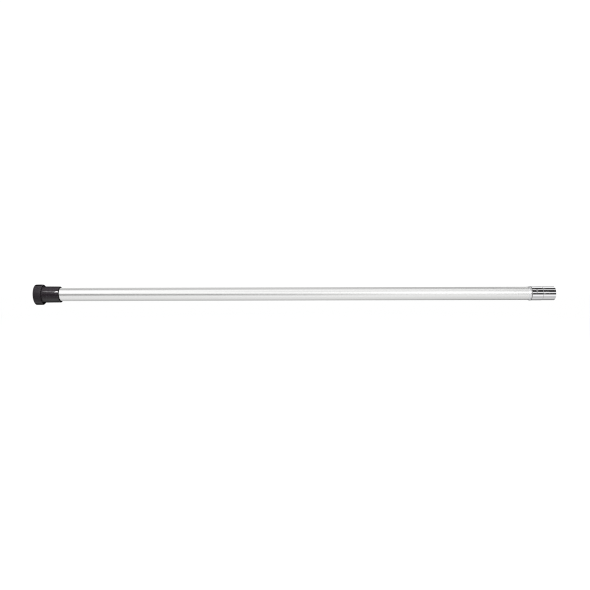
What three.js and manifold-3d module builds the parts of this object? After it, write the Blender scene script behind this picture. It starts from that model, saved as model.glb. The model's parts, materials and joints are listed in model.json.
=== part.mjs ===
// Two-section telescopic extension pole for a paint roller.
//
// The pole lies along +X. The origin is the centre of the rubber foot's base and
// the threaded socket for the roller frame faces +X. Lengths are in millimetres.
// The pole is drawn closed, with the twist lock released.
//
// In names and comments, START is the end of a part nearer the foot and END the
// end nearer the socket. Profiles are lists of [x, radius] points.
import * as THREE from "three";
import { mergeVertices } from "three/addons/utils/BufferGeometryUtils.js";
import Module from "manifold-3d";

// --------------------------------------------------------- shared dimensions
const TUBE_FACETS = 36; // tubes and the parts fitted on them
const CORE_FACETS = 32; // parts inside the tubes
const SMALL_FACETS = 24; // journals and washers
const PIN_FACETS = 16; // pins, rivets and the screw

const TOTAL = 972.2; // closed length, foot base to ferrule end
const TUBE_WALL = 0.8;
const PRESS_GAP = 0.06; // radial gap of parts pressed over the outer tube
const SLIP_GAP = 0.08; // radial gap of parts set in a bore, hole or groove
const END_GAP = 0.15; // gap along X between stacked parts

const OUTER_R = 12.5;
const OUTER_BORE = OUTER_R - TUBE_WALL;
const OUTER_START = 9.5;
const OUTER_END = 946.0;

const PLUG_FLANGE_END = 61.1; // the inner tube sits on the lock plug's flange
const INNER_R = 11.0;
const INNER_BORE = INNER_R - TUBE_WALL;
const INNER_START = PLUG_FLANGE_END + 0.1;
const INNER_END = 949.7;
const INNER_BODY_R = INNER_BORE - SLIP_GAP; // bodies set in the inner tube

// Pins across the inner tube
const PLUG_PIN_X = 76;
const PLUG_PIN_R = 1.5;
const TIP_PIN_X = 936.5;
const TIP_PIN_R = 2.0;
const PIN_INSET = 0.1; // pin ends below the tube's surface
const DRILL_REACH = 20; // hole cutters reach this far each side of the axis

// ------------------------------------------------------------------- helpers
const wasm = await Module();
wasm.setup();

// A closed geometry as a solid, facing out.
function solid(geometry) {
  const bare = new THREE.BufferGeometry()
    .setAttribute("position", geometry.getAttribute("position"))
    .setIndex(geometry.index);
  const merged = mergeVertices(bare, 1e-4);
  const index = merged.index.array;
  const triangles = [];
  for (let i = 0; i < index.length; i += 3) {
    const [a, b, c] = [index[i], index[i + 1], index[i + 2]];
    if (a !== b && b !== c && c !== a) triangles.push(a, b, c);
  }
  const make = () =>
    new wasm.Manifold(
      new wasm.Mesh({
        numProp: 3,
        vertProperties: new Float32Array(merged.attributes.position.array),
        triVerts: new Uint32Array(triangles),
      }),
    );
  const made = make();
  if (made.volume() > 0) return made;
  // inside out: reverse every triangle
  for (let i = 0; i < triangles.length; i += 3)
    [triangles[i + 1], triangles[i + 2]] = [triangles[i + 2], triangles[i + 1]];
  return make();
}

// A profile turned round the X axis. It starts and ends on the axis, or it is
// closed into a ring.
function turned(profile, facets = TUBE_FACETS) {
  const points = profile.map(([x, radius]) => new THREE.Vector2(radius, x));
  const onAxis = profile[0][1] === 0 && profile[profile.length - 1][1] === 0;
  if (!onAxis) points.push(points[0].clone());
  return solid(new THREE.LatheGeometry(points, facets).rotateZ(-Math.PI / 2));
}

// A plain tube along X, or a disc if its inner radius is 0.
const ring = (start, end, inner, outer, facets) =>
  turned([[start, inner], [start, outer], [end, outer], [end, inner]], facets);

// A rod crossing the pole at x, parallel to Z.
const crossRod = (x, zStart, zEnd, radius) =>
  solid(
    new THREE.CylinderGeometry(radius, radius, zEnd - zStart, PIN_FACETS)
      .rotateX(Math.PI / 2)
      .translate(x, 0, (zStart + zEnd) / 2),
  );

// Cutter for the hole a pin or rivet passes through.
const crossHole = (x, pinRadius) =>
  crossRod(x, -DRILL_REACH, DRILL_REACH, pinRadius + SLIP_GAP);

// A pin across the inner tube.
const crossPin = (x, radius) =>
  crossRod(x, -INNER_R + PIN_INSET, INNER_R - PIN_INSET, radius);

// A box of the given [x, y, z] size about a centre.
const block = (size, centre) =>
  solid(new THREE.BoxGeometry(...size).translate(...centre));

// One helical ridge inside a bore, of trapezoid section, as a closed solid.
// Its base lies at baseR, inside the wall; it fades into the wall at both ends.
function helicalRidge({ start, turns, pitch, minorR, baseR, crestW, baseW, stepsPerTurn }) {
  const steps = Math.round(turns * stepsPerTurn);
  const fadeSteps = stepsPerTurn / 4;
  const fadedR = baseR - 0.3;
  const leastHeight = 0.02; // share of full height left at the ends
  const positions = [];
  for (let i = 0; i <= steps; i++) {
    const angle = (i / stepsPerTurn) * 2 * Math.PI;
    const middle = start + (i / stepsPerTurn) * pitch;
    const fade = Math.min(1, i / fadeSteps, (steps - i) / fadeSteps);
    const crestR = fadedR - (fadedR - minorR) * Math.max(fade, leastHeight);
    for (const [offset, radius] of [
      [-baseW / 2, baseR],
      [-crestW / 2, crestR],
      [crestW / 2, crestR],
      [baseW / 2, baseR],
    ])
      positions.push(middle + offset, radius * Math.cos(angle), radius * Math.sin(angle));
  }
  const triangles = [];
  for (let i = 0; i < steps; i++)
    for (let k = 0; k < 4; k++) {
      const [here, beside] = [i * 4 + k, i * 4 + ((k + 1) % 4)];
      const [next, nextBeside] = [here + 4, beside + 4];
      triangles.push(here, beside, nextBeside, here, nextBeside, next);
    }
  const last = steps * 4;
  triangles.push(0, 2, 1, 0, 3, 2); // end caps
  triangles.push(last, last + 1, last + 2, last, last + 2, last + 3);
  const geometry = new THREE.BufferGeometry();
  geometry.setAttribute("position", new THREE.Float32BufferAttribute(positions, 3));
  geometry.setIndex(triangles);
  return solid(geometry);
}

// ------------------------------------------------------- materials and groups
const material = ({ color, roughness, metalness }) =>
  new THREE.MeshStandardMaterial({ color, roughness, metalness, flatShading: true });
const aluminium = material({ color: 0xd2d3d1, roughness: 0.34, metalness: 1 });
const chrome = material({ color: 0xe4e4e6, roughness: 0.06, metalness: 1 });
const rubber = material({ color: 0x1c1b1d, roughness: 0.62, metalness: 0 });
const nylon = material({ color: 0xe6e3da, roughness: 0.5, metalness: 0 });
const acetal = material({ color: 0x2b2c2f, roughness: 0.42, metalness: 0 });
const steel = material({ color: 0xa9abad, roughness: 0.32, metalness: 1 });
const zinc = material({ color: 0x9b9da0, roughness: 0.45, metalness: 1 });

const pole = new THREE.Group();
pole.name = "extension_pole";
const outerSection = new THREE.Group();
const innerSection = new THREE.Group();
pole.add(outerSection, innerSection);

// Adds a solid to a section as a named mesh.
function add(section, name, piece, finish) {
  const { vertProperties, triVerts } = piece.getMesh();
  const geometry = new THREE.BufferGeometry();
  geometry.setAttribute("position", new THREE.Float32BufferAttribute(vertProperties, 3));
  geometry.setIndex(new THREE.BufferAttribute(new Uint32Array(triVerts), 1));
  geometry.computeVertexNormals();
  const mesh = new THREE.Mesh(geometry, finish);
  mesh.name = name;
  section.add(mesh);
}

// --------------------------------------------------- outer section: foot end
const FOOT_HEAD_R = 19.25;
const FOOT_HEAD_L = 14.6;
const FOOT_SLEEVE_R = 15.2;
const FOOT_L = 46.1;
const FOOT_FLOOR = 6.0; // rubber under the tube
const FOOT_BORE = OUTER_R + PRESS_GAP;
const TREAD_RADII = [6.6, 12.2]; // V grooves in the base
const TREAD_HALF_W = 1.0;
const TREAD_D = 1.2;

// Rubber foot: a wide, grooved base and a slim sleeve over the tube.
const foot = turned([
  [0, 0],
  ...TREAD_RADII.flatMap((radius) => [
    [0, radius - TREAD_HALF_W],
    [TREAD_D, radius],
    [0, radius + TREAD_HALF_W],
  ]),
  [0, FOOT_HEAD_R - 1.1],
  [1.1, FOOT_HEAD_R],
  [FOOT_HEAD_L - 1.2, FOOT_HEAD_R],
  [FOOT_HEAD_L, FOOT_HEAD_R - 0.9],
  [FOOT_HEAD_L + 0.3, FOOT_SLEEVE_R + 0.8],
  [FOOT_HEAD_L + 1.0, FOOT_SLEEVE_R],
  [FOOT_L - 0.9, FOOT_SLEEVE_R - 0.28],
  [FOOT_L, FOOT_SLEEVE_R - 1.0],
  [FOOT_L, FOOT_BORE],
  [FOOT_FLOOR, FOOT_BORE],
  [FOOT_FLOOR, 0],
]);
add(outerSection, "rubber_foot", foot, rubber);

// Steel disc that keeps the tube from cutting through the rubber.
const DISC_START = FOOT_FLOOR + END_GAP;
const DISC_END = DISC_START + 1.6;
const disc = ring(DISC_START, DISC_END, 0, OUTER_R - 0.3, CORE_FACETS);
add(outerSection, "foot_washer", disc, steel);

// Barbed cup pressed into the tube's butt end.
const CUP_START = DISC_END + END_GAP;
const CUP_FLANGE_END = OUTER_START - END_GAP;
const CUP_FLANGE_R = OUTER_R - 0.25;
const CUP_R = OUTER_BORE - 0.55;
const CUP_BARB_R = OUTER_BORE - SLIP_GAP;
const CUP_END = 28;
const CUP_BORE = 8.8;
const CUP_FLOOR = 11.6;
const buttPlug = turned(
  [
    [CUP_START, 0],
    [CUP_START, CUP_FLANGE_R],
    [CUP_FLANGE_END, CUP_FLANGE_R],
    [CUP_FLANGE_END, CUP_R],
    [13.5, CUP_R], [13.9, CUP_BARB_R], // first barb
    [20.5, CUP_R], [20.9, CUP_BARB_R], // second barb
    [CUP_END, OUTER_BORE - 1.1],
    [CUP_END, CUP_BORE],
    [CUP_FLOOR, CUP_BORE],
    [CUP_FLOOR, 0],
  ],
  CORE_FACETS,
);
add(outerSection, "butt_plug", buttPlug, acetal);

// ------------------------------------------------- outer section: mouth end
const RIVET_X = 936.6;
const RIVET_R = 1.2;
const RIVET_HEAD_R = 2.9;
const RIVET_HEAD_H = 0.7;
const RIVET_HEAD_STEPS = 3;
// Turns about X that take +Z to each rivet: the front one faces -Y, 19 degrees
// above the horizontal plane, and the back one is opposite.
const FRONT_RIVET_TURN = 90 - 19;
const BACK_RIVET_TURN = FRONT_RIVET_TURN + 180;
const rivetHole = crossHole(RIVET_X, RIVET_R).rotate([FRONT_RIVET_TURN, 0, 0]);

const outerTube = ring(OUTER_START, OUTER_END, OUTER_BORE, OUTER_R).subtract(rivetHole);
add(outerSection, "outer_tube", outerTube, aluminium);

const COLLAR_START = 922.0;
const COLLAR_END = 948.55;
const COLLAR_BORE = OUTER_R + PRESS_GAP;
const COLLAR_SKIRT_R = 12.75;
const COLLAR_LIP_R = 14.0;
const COLLAR_LIP_END = COLLAR_START + 5.1;
const GROOVE_END = COLLAR_LIP_END + 0.9;
const GROOVE_R = OUTER_R + 0.3;
const BARREL_START_R = 13.5; // the barrel tapers slightly towards the mouth
const BARREL_END_R = 13.25;
const COLLAR_WALL_START = COLLAR_END - 0.85;
const MOUTH_R = 11.25; // opening in the end wall

// Drawn collar over the mouth: thin skirt, lip, groove, barrel and end wall.
const collar = turned([
  [COLLAR_START, COLLAR_BORE],
  [COLLAR_START, COLLAR_SKIRT_R],
  [COLLAR_START + 3.0, COLLAR_SKIRT_R + 0.15],
  [COLLAR_START + 3.9, COLLAR_LIP_R],
  [COLLAR_LIP_END - 0.2, COLLAR_LIP_R],
  [COLLAR_LIP_END, GROOVE_R],
  [GROOVE_END, GROOVE_R],
  [GROOVE_END, BARREL_START_R],
  [COLLAR_END - 0.3, BARREL_END_R],
  [COLLAR_END, BARREL_END_R - 0.3],
  [COLLAR_END, MOUTH_R],
  [COLLAR_WALL_START, MOUTH_R],
  [COLLAR_WALL_START, COLLAR_BORE],
]).subtract(rivetHole);
add(outerSection, "mouth_collar", collar, chrome);

// Nylon bush that guides the inner tube, with a flange over the tube's mouth.
const BUSH_START = 916;
const BUSH_R = OUTER_BORE - SLIP_GAP;
const BUSH_BORE = INNER_R + 0.12;
const BUSH_FLANGE_R = OUTER_R - 0.1;
const BUSH_FLANGE_START = OUTER_END + END_GAP;
const BUSH_FLANGE_END = COLLAR_WALL_START - 0.2;
const bush = turned([
  [BUSH_START, BUSH_BORE],
  [BUSH_START, BUSH_R],
  [BUSH_FLANGE_START, BUSH_R],
  [BUSH_FLANGE_START, BUSH_FLANGE_R],
  [BUSH_FLANGE_END, BUSH_FLANGE_R],
  [BUSH_FLANGE_END, BUSH_BORE],
]).subtract(rivetHole);
add(outerSection, "guide_bush", bush, nylon);

// Rivet on +Z with a low domed head, seated on the tapered barrel.
function rivet() {
  const taper = (BARREL_START_R - BARREL_END_R) / (COLLAR_END - GROOVE_END);
  const seat = BARREL_END_R + taper * (COLLAR_END - RIVET_X);
  const head = [
    new THREE.Vector2(0, seat + 0.05),
    new THREE.Vector2(RIVET_HEAD_R, seat + 0.05),
  ];
  for (let i = 0; i <= RIVET_HEAD_STEPS; i++) {
    const angle = (i / RIVET_HEAD_STEPS) * (Math.PI / 2);
    const radius = i === RIVET_HEAD_STEPS ? 0 : RIVET_HEAD_R * Math.cos(angle);
    head.push(new THREE.Vector2(radius, seat + 0.15 + RIVET_HEAD_H * Math.sin(angle)));
  }
  const shank = crossRod(RIVET_X, BUSH_BORE + 0.28, seat + 0.1, RIVET_R);
  return solid(
    new THREE.LatheGeometry(head, PIN_FACETS)
      .rotateX(Math.PI / 2)
      .translate(RIVET_X, 0, 0),
  ).add(shank);
}
for (const [name, turn] of [
  ["collar_rivet_front", FRONT_RIVET_TURN],
  ["collar_rivet_back", BACK_RIVET_TURN],
])
  add(outerSection, name, rivet().rotate([turn, 0, 0]), steel);

// ------------------------------------------- inner section: sleeve and tube
const GLIDE_START = PLUG_FLANGE_END + 0.25;
const GLIDE_END = 121.3;
const GLIDE_R = OUTER_BORE - 0.12;
const GLIDE_BORE = INNER_R + 0.1;
const GLIDE_SPLIT = 1.4;

// Nylon sleeve, split along its underside. It stays put in the outer tube while
// the inner tube turns in it.
const glideSleeve = ring(GLIDE_START, GLIDE_END, GLIDE_BORE, GLIDE_R).subtract(
  block(
    [GLIDE_END - GLIDE_START + 4, GLIDE_SPLIT, 4],
    [(GLIDE_START + GLIDE_END) / 2, 0, -GLIDE_R],
  ),
);
add(innerSection, "glide_sleeve", glideSleeve, nylon);

// Rolled bead that keeps the glide sleeve and stops the pull-out.
const BEAD_START = GLIDE_END + 0.3;
const BEAD_END = BEAD_START + 4.0;
const BEAD_RAMP = 1.0;
const BEAD_R = 11.42;
const innerTube = turned([
  [INNER_START, INNER_BORE],
  [INNER_START, INNER_R],
  [BEAD_START, INNER_R],
  [BEAD_START + BEAD_RAMP, BEAD_R],
  [BEAD_END - BEAD_RAMP, BEAD_R],
  [BEAD_END, INNER_R],
  [INNER_END, INNER_R],
  [INNER_END, INNER_BORE],
])
  .subtract(crossHole(PLUG_PIN_X, PLUG_PIN_R))
  .subtract(crossHole(TIP_PIN_X, TIP_PIN_R));
add(innerSection, "inner_tube", innerTube, aluminium);

// ------------------------------------------------ inner section: twist lock
const PLUG_FACE = 58.6;
const PLUG_FLANGE_R = 11.3;
const PLUG_END = 92;
const PLUG_CORE_R = 6.5;
const PLUG_CORE_START = PLUG_PIN_X + 5;

const THROW = 0.9; // eccentricity of each journal
const JOURNAL_R = 5.0;
const CAM_R = 10.85;
const CAM_L = 10.0;
const CAM_HOLE_R = JOURNAL_R + 0.12;
const LOWER_CAM = 37.3; // start of each cam
const UPPER_CAM = PLUG_FACE - 0.2 - CAM_L;
const JOURNAL_SPLIT = (LOWER_CAM + CAM_L + UPPER_CAM) / 2;
const BAND_R = CAM_R + 0.08; // just proud of its cam
const BAND_BORE = 9.9;
const BAND_L = 4.0;
const WASHER_R = 9.5;

const SCREW_R = 1.95;
const SCREW_END = 52;
const SCREW_HEAD_R = 4.5;
const RECESS_L = 4.6; // cross recess in the head
const RECESS_W = 0.9;
const RECESS_D = 1.6;

const journal = (start, end, z) =>
  ring(start, end, 0, JOURNAL_R, SMALL_FACETS).translate([0, 0, z]);

// Lock plug: a body inside the tube, a flange, and two journals offset to
// opposite sides.
const lockPlug = turned(
  [
    [PLUG_FACE, 0],
    [PLUG_FACE, PLUG_FLANGE_R],
    [PLUG_FLANGE_END, PLUG_FLANGE_R],
    [PLUG_FLANGE_END, INNER_BODY_R],
    [PLUG_END - 1.5, INNER_BODY_R],
    [PLUG_END, INNER_BODY_R - 0.9],
    [PLUG_END, PLUG_CORE_R],
    [PLUG_CORE_START, PLUG_CORE_R],
    [PLUG_CORE_START, 0],
  ],
  CORE_FACETS,
)
  .add(journal(JOURNAL_SPLIT, PLUG_FACE + 0.3, THROW))
  .add(journal(LOWER_CAM - 0.1, JOURNAL_SPLIT + 0.01, -THROW))
  .subtract(ring(LOWER_CAM - 1, SCREW_END + 0.5, 0, SCREW_R + 0.15, PIN_FACETS))
  .subtract(crossHole(PLUG_PIN_X, PLUG_PIN_R));
add(innerSection, "lock_plug", lockPlug, acetal);
add(innerSection, "plug_pin", crossPin(PLUG_PIN_X, PLUG_PIN_R), steel);

// Cam with a band groove. Its hole is as far off centre as the journal, so that a
// released cam is centred in the tube.
function cam(start, holeZ) {
  const end = start + CAM_L;
  const middle = start + CAM_L / 2;
  const grooveHalf = BAND_L / 2 + SLIP_GAP;
  const grooveR = BAND_BORE - SLIP_GAP;
  const hole = ring(start - 1, end + 1, 0, CAM_HOLE_R, SMALL_FACETS);
  return turned(
    [
      [start, 0],
      [start, CAM_R],
      [middle - grooveHalf, CAM_R],
      [middle - grooveHalf, grooveR],
      [middle + grooveHalf, grooveR],
      [middle + grooveHalf, CAM_R],
      [end, CAM_R],
      [end, 0],
    ],
    CORE_FACETS,
  ).subtract(hole.translate([0, 0, holeZ]));
}
function camBand(camStart) {
  const start = camStart + CAM_L / 2 - BAND_L / 2;
  return ring(start, start + BAND_L, BAND_BORE, BAND_R, CORE_FACETS);
}
for (const [name, start, holeZ] of [
  ["upper_cam", UPPER_CAM, THROW],
  ["lower_cam", LOWER_CAM, -THROW],
]) {
  add(innerSection, name, cam(start, holeZ), acetal);
  add(innerSection, `${name}_band`, camBand(start), rubber);
}

// Spacer between the cams.
const spacer = ring(
  LOWER_CAM + CAM_L + END_GAP,
  UPPER_CAM - END_GAP,
  JOURNAL_R + THROW + 0.25,
  WASHER_R,
  SMALL_FACETS,
);
add(innerSection, "cam_spacer", spacer, steel);

const WASHER_END = LOWER_CAM - 0.2;
const WASHER_START = WASHER_END - 1.0;
const endWasher = ring(WASHER_START, WASHER_END, 2.6, WASHER_R, SMALL_FACETS);
add(innerSection, "end_washer", endWasher, steel);

// Pan-head screw with a cross recess.
const SCREW_SEAT = WASHER_START - 0.1;
const SCREW_TOP = SCREW_SEAT - 2.6;
const screw = turned(
  [
    [SCREW_TOP, 0],
    [SCREW_TOP, 2.9],
    [SCREW_SEAT - 1.2, SCREW_HEAD_R],
    [SCREW_SEAT, SCREW_HEAD_R],
    [SCREW_SEAT, SCREW_R],
    [SCREW_END, SCREW_R],
    [SCREW_END, 0],
  ],
  PIN_FACETS,
)
  .subtract(block([2 * RECESS_D, RECESS_W, RECESS_L], [SCREW_TOP, 0, 0]))
  .subtract(block([2 * RECESS_D, RECESS_L, RECESS_W], [SCREW_TOP, 0, 0]));
add(innerSection, "end_screw", screw, steel);

// ----------------------------------------------- inner section: socket end
const FERRULE_WALL = 0.7; // end turned in over the socket's face
const SOCKET_START = 925;
const SOCKET_HEAD = INNER_END + 0.2; // start of the head
const SOCKET_FACE = TOTAL - FERRULE_WALL - 0.1;
const SOCKET_R = 12.14;
const SOCKET_CORE_R = 7.0;
const SOCKET_WEB_HOLE_R = 4.0;
const THREAD_START = 953.3;
const THREAD_MAJOR_R = 9.7; // 3/4 inch, 5 threads per inch, Acme form
const THREAD_BORE_START = THREAD_START - 1.6;
const SOCKET_WEB_START = THREAD_START - 4.2;

// Threaded socket: a head that carries the thread, and a cored plug in the tube.
const socketBody = turned(
  [
    [SOCKET_START, SOCKET_CORE_R],
    [SOCKET_START, INNER_BODY_R],
    [SOCKET_HEAD, INNER_BODY_R],
    [SOCKET_HEAD, SOCKET_R],
    [SOCKET_FACE, SOCKET_R],
    [SOCKET_FACE, THREAD_MAJOR_R],
    [THREAD_BORE_START, THREAD_MAJOR_R],
    [THREAD_BORE_START, SOCKET_WEB_HOLE_R],
    [SOCKET_WEB_START, SOCKET_WEB_HOLE_R],
    [SOCKET_WEB_START, SOCKET_CORE_R],
  ],
  CORE_FACETS,
);
const thread = helicalRidge({
  start: THREAD_START + 0.4,
  turns: 2.9,
  pitch: 5.08,
  minorR: 7.2,
  baseR: THREAD_MAJOR_R + 0.35,
  crestW: 1.9,
  baseW: 3.2,
  stepsPerTurn: 16,
});
const socket = socketBody.add(thread).subtract(crossHole(TIP_PIN_X, TIP_PIN_R));
add(innerSection, "threaded_socket", socket, zinc);
add(innerSection, "tip_pin", crossPin(TIP_PIN_X, TIP_PIN_R), steel);

// Chromed ferrule round the socket.
const FERRULE_START = COLLAR_END + 0.35;
const FERRULE_R = 13.0;
const FERRULE_BORE = SOCKET_R + SLIP_GAP;
const FERRULE_MOUTH_R = 10.1;
const ferrule = turned([
  [FERRULE_START, FERRULE_BORE],
  [FERRULE_START, FERRULE_R - 0.2],
  [FERRULE_START + 0.2, FERRULE_R],
  [TOTAL - 0.6, FERRULE_R],
  [TOTAL, FERRULE_R - 0.6],
  [TOTAL, FERRULE_MOUTH_R],
  [TOTAL - FERRULE_WALL, FERRULE_MOUTH_R],
  [TOTAL - FERRULE_WALL, FERRULE_BORE],
]);
add(innerSection, "tip_ferrule", ferrule, chrome);

export default pole;
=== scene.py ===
# A telescopic roller extension pole: fine meshes for every CAD node, procedural
# materials, a plain studio and the camera. The pole lies along X, from its rubber foot
# near X = 0 to the threaded tip at +X. Z is up and the camera stands on the -Y side.
# Profiles are in millimetres and are turned round X; meshes, lights and materials are
# in metres. Names in _start and _end are places along X, names in _r are radii.
import json
import math

import bmesh
import bpy
from mathutils import Matrix, Vector


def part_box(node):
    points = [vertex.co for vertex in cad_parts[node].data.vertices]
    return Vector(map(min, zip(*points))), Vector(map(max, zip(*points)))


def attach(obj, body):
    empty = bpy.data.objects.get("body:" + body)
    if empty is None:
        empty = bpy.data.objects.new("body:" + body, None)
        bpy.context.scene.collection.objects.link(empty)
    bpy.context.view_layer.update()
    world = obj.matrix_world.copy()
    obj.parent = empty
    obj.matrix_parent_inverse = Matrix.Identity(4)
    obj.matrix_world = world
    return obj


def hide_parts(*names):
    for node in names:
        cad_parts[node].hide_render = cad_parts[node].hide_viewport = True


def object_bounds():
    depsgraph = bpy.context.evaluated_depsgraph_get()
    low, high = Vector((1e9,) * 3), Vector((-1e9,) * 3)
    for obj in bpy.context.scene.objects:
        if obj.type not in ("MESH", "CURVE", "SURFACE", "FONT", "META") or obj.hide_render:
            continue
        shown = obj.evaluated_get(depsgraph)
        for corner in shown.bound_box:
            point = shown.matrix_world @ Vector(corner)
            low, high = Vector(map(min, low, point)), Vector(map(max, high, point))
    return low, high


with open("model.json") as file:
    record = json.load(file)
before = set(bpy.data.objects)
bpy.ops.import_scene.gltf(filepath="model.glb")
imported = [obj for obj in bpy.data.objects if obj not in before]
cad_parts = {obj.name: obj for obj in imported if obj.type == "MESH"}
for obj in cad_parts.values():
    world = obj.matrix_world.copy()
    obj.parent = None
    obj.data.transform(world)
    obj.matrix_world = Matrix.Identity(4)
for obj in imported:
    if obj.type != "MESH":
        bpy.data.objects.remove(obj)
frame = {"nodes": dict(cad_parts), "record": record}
cad_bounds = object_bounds()
MM = 0.001

SLOTS = {part["node"]: part["material_slot"] for part in frame["record"]["subparts"]}
BODY = {
    member: body
    for body, members in frame["record"]["behaviour"]["bodies"].items()
    for member in members
}


def span(node):
    """Start, end and outer radius of a CAD node, in millimetres."""
    lo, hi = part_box(node)
    return lo.x / MM, hi.x / MM, max(hi.y, -lo.y) / MM


def middle(node):
    """Place along X of a CAD node's middle, in millimetres."""
    return sum(span(node)[:2]) / 2


# ------------------------------------------------------------------ mesh tools
def rounded(profile, closed):
    """Turns rows of (x, radius, fillet[, z shift]) into points (x, radius, z shift).
    Each fillet becomes an arc, with a support point on each side so that the flats
    next to it stay flat when shaded smooth."""
    count = len(profile)
    points = []
    for i, (x, r, fillet, *shift) in enumerate(profile):
        shift = shift[0] if shift else 0.0
        if fillet <= 0 or (not closed and i in (0, count - 1)):
            points.append((x, r, shift))
            continue
        corner = Vector((x, r))
        back = Vector(profile[i - 1][:2]) - corner
        ahead = Vector(profile[(i + 1) % count][:2]) - corner
        back_length, ahead_length = back.length, ahead.length
        back, ahead = back / back_length, ahead / ahead_length
        angle = back.angle(ahead)
        if angle > math.pi - 0.01:
            points.append((x, r, shift))
            continue
        trim = min(fillet / math.tan(angle / 2), 0.42 * back_length, 0.42 * ahead_length)
        arc_r = trim * math.tan(angle / 2)
        turn = math.pi - angle
        steps = max(2, min(8, round(turn / math.radians(14))))
        centre = corner + (back + ahead).normalized() * (arc_r / math.sin(angle / 2))
        spoke = corner + back * trim - centre
        sign = -1 if back.cross(ahead) < 0 else 1
        support = min(0.25 * trim, 0.06 * min(back_length, ahead_length))
        points.append((*(corner + back * (trim + support)), shift))
        for k in range(steps + 1):
            point = spoke.copy()
            point.rotate(Matrix.Rotation(-sign * turn * k / steps, 2))
            point += centre
            points.append((point.x, point.y, shift))
        points.append((*(corner + ahead * (trim + support)), shift))
    return points


def shade(mesh, sharp_angle):
    mesh.shade_smooth()
    mesh.set_sharp_from_angle(angle=math.radians(sharp_angle))


def make(verts, faces, sharp_angle=35.0):
    """An object from vertices in millimetres, with its normals outwards."""
    mesh = bpy.data.meshes.new("part")
    mesh.from_pydata([Vector(v) * MM for v in verts], [], faces)
    bm = bmesh.new()
    bm.from_mesh(mesh)
    bmesh.ops.remove_doubles(bm, verts=bm.verts, dist=1e-8)
    bmesh.ops.recalc_face_normals(bm, faces=bm.faces)
    if bm.calc_volume(signed=True) < 0:
        bmesh.ops.reverse_faces(bm, faces=bm.faces)
    bm.to_mesh(mesh)
    bm.free()
    shade(mesh, sharp_angle)
    obj = bpy.data.objects.new("part", mesh)
    bpy.context.scene.collection.objects.link(obj)
    return obj


def turned(profile, segments, sweep=None):
    """A profile turned round X. It is solid if it starts and ends on the axis, and
    otherwise closes into a ring. A sweep (from, to) in degrees leaves a slot."""
    closed = not (profile[0][1] == 0 and profile[-1][1] == 0)
    points = rounded(profile, closed)
    rows = len(points)
    full = sweep is None
    columns = segments if full else segments + 1
    first, last = (0.0, 2 * math.pi) if full else map(math.radians, sweep)
    verts, index = [], {}
    for j, (x, r, shift) in enumerate(points):
        if r <= 1e-9:
            for i in range(columns):
                index[j, i] = len(verts)
            verts.append((x, 0.0, shift))
            continue
        for i in range(columns):
            angle = first + (last - first) * i / segments
            index[j, i] = len(verts)
            verts.append((x, r * math.cos(angle), r * math.sin(angle) + shift))
    faces = []
    for j in range(rows if closed else rows - 1):
        k = (j + 1) % rows
        for i in range(segments):
            h = (i + 1) % columns
            quad = [index[j, i], index[j, h], index[k, h], index[k, i]]
            face = list(dict.fromkeys(quad))
            if len(face) > 2:
                faces.append(face)
    if not full:
        faces.append([index[j, 0] for j in range(rows)])
        faces.append([index[j, columns - 1] for j in range(rows)])
    return make(verts, faces)


def joined(obj, *others, operation="DIFFERENCE", sharp_angle=35.0):
    """Boolean with other closed meshes, applied to the mesh."""
    for other in others:
        modifier = obj.modifiers.new("cut", "BOOLEAN")
        modifier.operation = operation
        modifier.solver = "EXACT"
        modifier.object = other
    graph = bpy.context.evaluated_depsgraph_get()
    mesh = bpy.data.meshes.new_from_object(obj.evaluated_get(graph))
    bm = bmesh.new()
    bm.from_mesh(mesh)
    bmesh.ops.remove_doubles(bm, verts=bm.verts, dist=2e-6)
    bm.to_mesh(mesh)
    bm.free()
    obj.modifiers.clear()
    obj.data = mesh
    shade(mesh, sharp_angle)
    for other in others:
        bpy.data.objects.remove(other)
    return obj


X_TO_Z = Matrix.Rotation(math.radians(-90), 4, "Y")


def stand(obj, x, angle):
    """Moves a mesh made round the origin to x, tipped about X by an angle in degrees."""
    tip = Matrix.Rotation(math.radians(angle), 4, "X")
    obj.data.transform(tip @ Matrix.Translation((x * MM, 0, 0)))
    return obj


def rod(x, reach, r, chamfer=0.0, angle=0.0):
    """A pin across the pole's axis at x, reaching equally far to both sides."""
    pin = turned([(-reach, 0, 0), (-reach, r, chamfer), (reach, r, chamfer), (reach, 0, 0)], 48)
    pin.data.transform(X_TO_Z)
    return stand(pin, x, angle)


HOLE_CLEARANCE = 0.08


def hole(x, pin_r, angle=0.0):
    """The cutter for a pin's hole, long enough to pass right through the pole."""
    return rod(x, 20, pin_r + HOLE_CLEARANCE, angle=angle)


PIECES = {}


def piece(node, obj):
    obj.name = node + "_fine"
    obj.data.name = obj.name
    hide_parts(node)
    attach(obj, BODY[node])
    PIECES[node] = obj


def flat_ring(node, bore_r, fillet):
    """A washer or spacer whose outer edges have the given fillet."""
    start, end, r = span(node)
    rows = [(start, bore_r, 0.12), (start, r, fillet), (end, r, fillet), (end, bore_r, 0.12)]
    piece(node, turned(rows, 96))


# --------------------------------------------------------------- outer section
foot_start, foot_end, foot_r = span("rubber_foot")
tube_start, tube_end, tube_r = span("outer_tube")
collar_start, collar_end, lip_r = span("mouth_collar")
ferrule_start, ferrule_end, ferrule_r = span("tip_ferrule")
TUBE_BORE = 11.7
FIT_R = tube_r + 0.06  # bore of the parts pushed over the tube

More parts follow.
